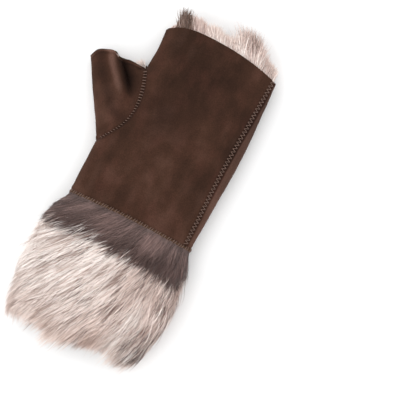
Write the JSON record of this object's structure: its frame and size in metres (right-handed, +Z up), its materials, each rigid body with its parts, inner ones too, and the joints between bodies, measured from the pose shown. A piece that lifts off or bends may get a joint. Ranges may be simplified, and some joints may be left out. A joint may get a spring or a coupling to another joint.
{
  "type": "fingerless sheepskin mitten",
  "caption": "Fingerless sheepskin mitten lying palm up, with a suede hand, a set-in thumb and a wide cuff of long combed fur.",
  "frame": {"origin": "under the middle of the mitten's bounding box, on the table", "axes": "+Y from the cuff to the fingers, +Z up out of the palm, +X from the thumb to the far side of the hand"},
  "size_m": [0.1638, 0.3004, 0.0453],
  "materials": {
    "suede": "dark brown suede with a soft nap",
    "hide": "dark brown suede, the bare side of the cuff's skin",
    "fur": "long glossy hair, dark beside the seam and pale below",
    "pile": "soft clipped wool, cream with a few dark tufts",
    "thread": "waxed taupe thread"
  },
  "bodies": {
    "root": {"hand_panel": "suede", "thumb_piece": "suede", "finger_pile": "pile", "thumb_pile": "pile", "cuff_hide": "hide", "cuff_fur": "fur"}
  },
  "joints": []
}
